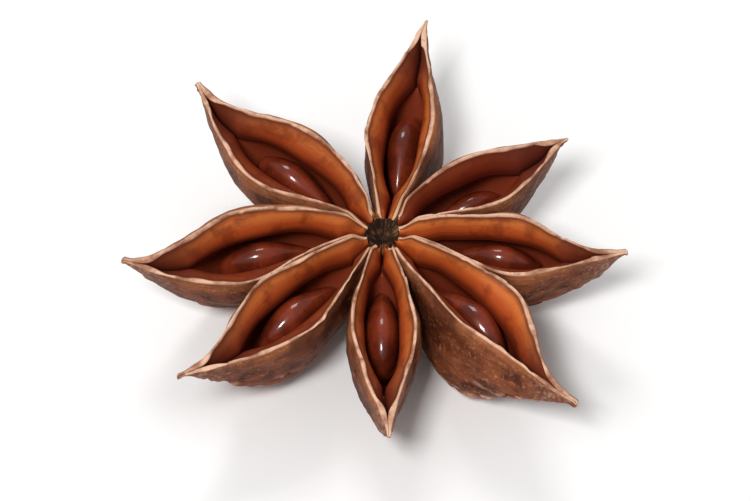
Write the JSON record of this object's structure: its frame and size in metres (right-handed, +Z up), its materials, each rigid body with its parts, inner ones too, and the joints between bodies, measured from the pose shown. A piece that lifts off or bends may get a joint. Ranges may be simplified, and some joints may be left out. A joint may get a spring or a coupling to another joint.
{
  "type": "star anise pod",
  "caption": "Whole dried star-shaped spice pod lying flat, its boat-shaped carpels split open over glossy seeds.",
  "frame": {"origin": "on the table, under the middle of the pod's box", "axes": "+Z up through the column and out of the open side; +Y is towards the carpel at the back of the picture's view, numbered 1, and the carpels count clockwise from it seen from above"},
  "size_m": [0.0358, 0.036, 0.0095],
  "materials": {
    "husk": "dry and leathery outside, smooth and satin inside the split, with pale rims",
    "seed_coat": "hard and glossy"
  },
  "bodies": {
    "root": {"pod": "husk", "seed_1": "seed_coat", "seed_2": "seed_coat", "seed_3": "seed_coat", "seed_4": "seed_coat", "seed_5": "seed_coat", "seed_6": "seed_coat", "seed_7": "seed_coat", "seed_8": "seed_coat"}
  },
  "joints": []
}
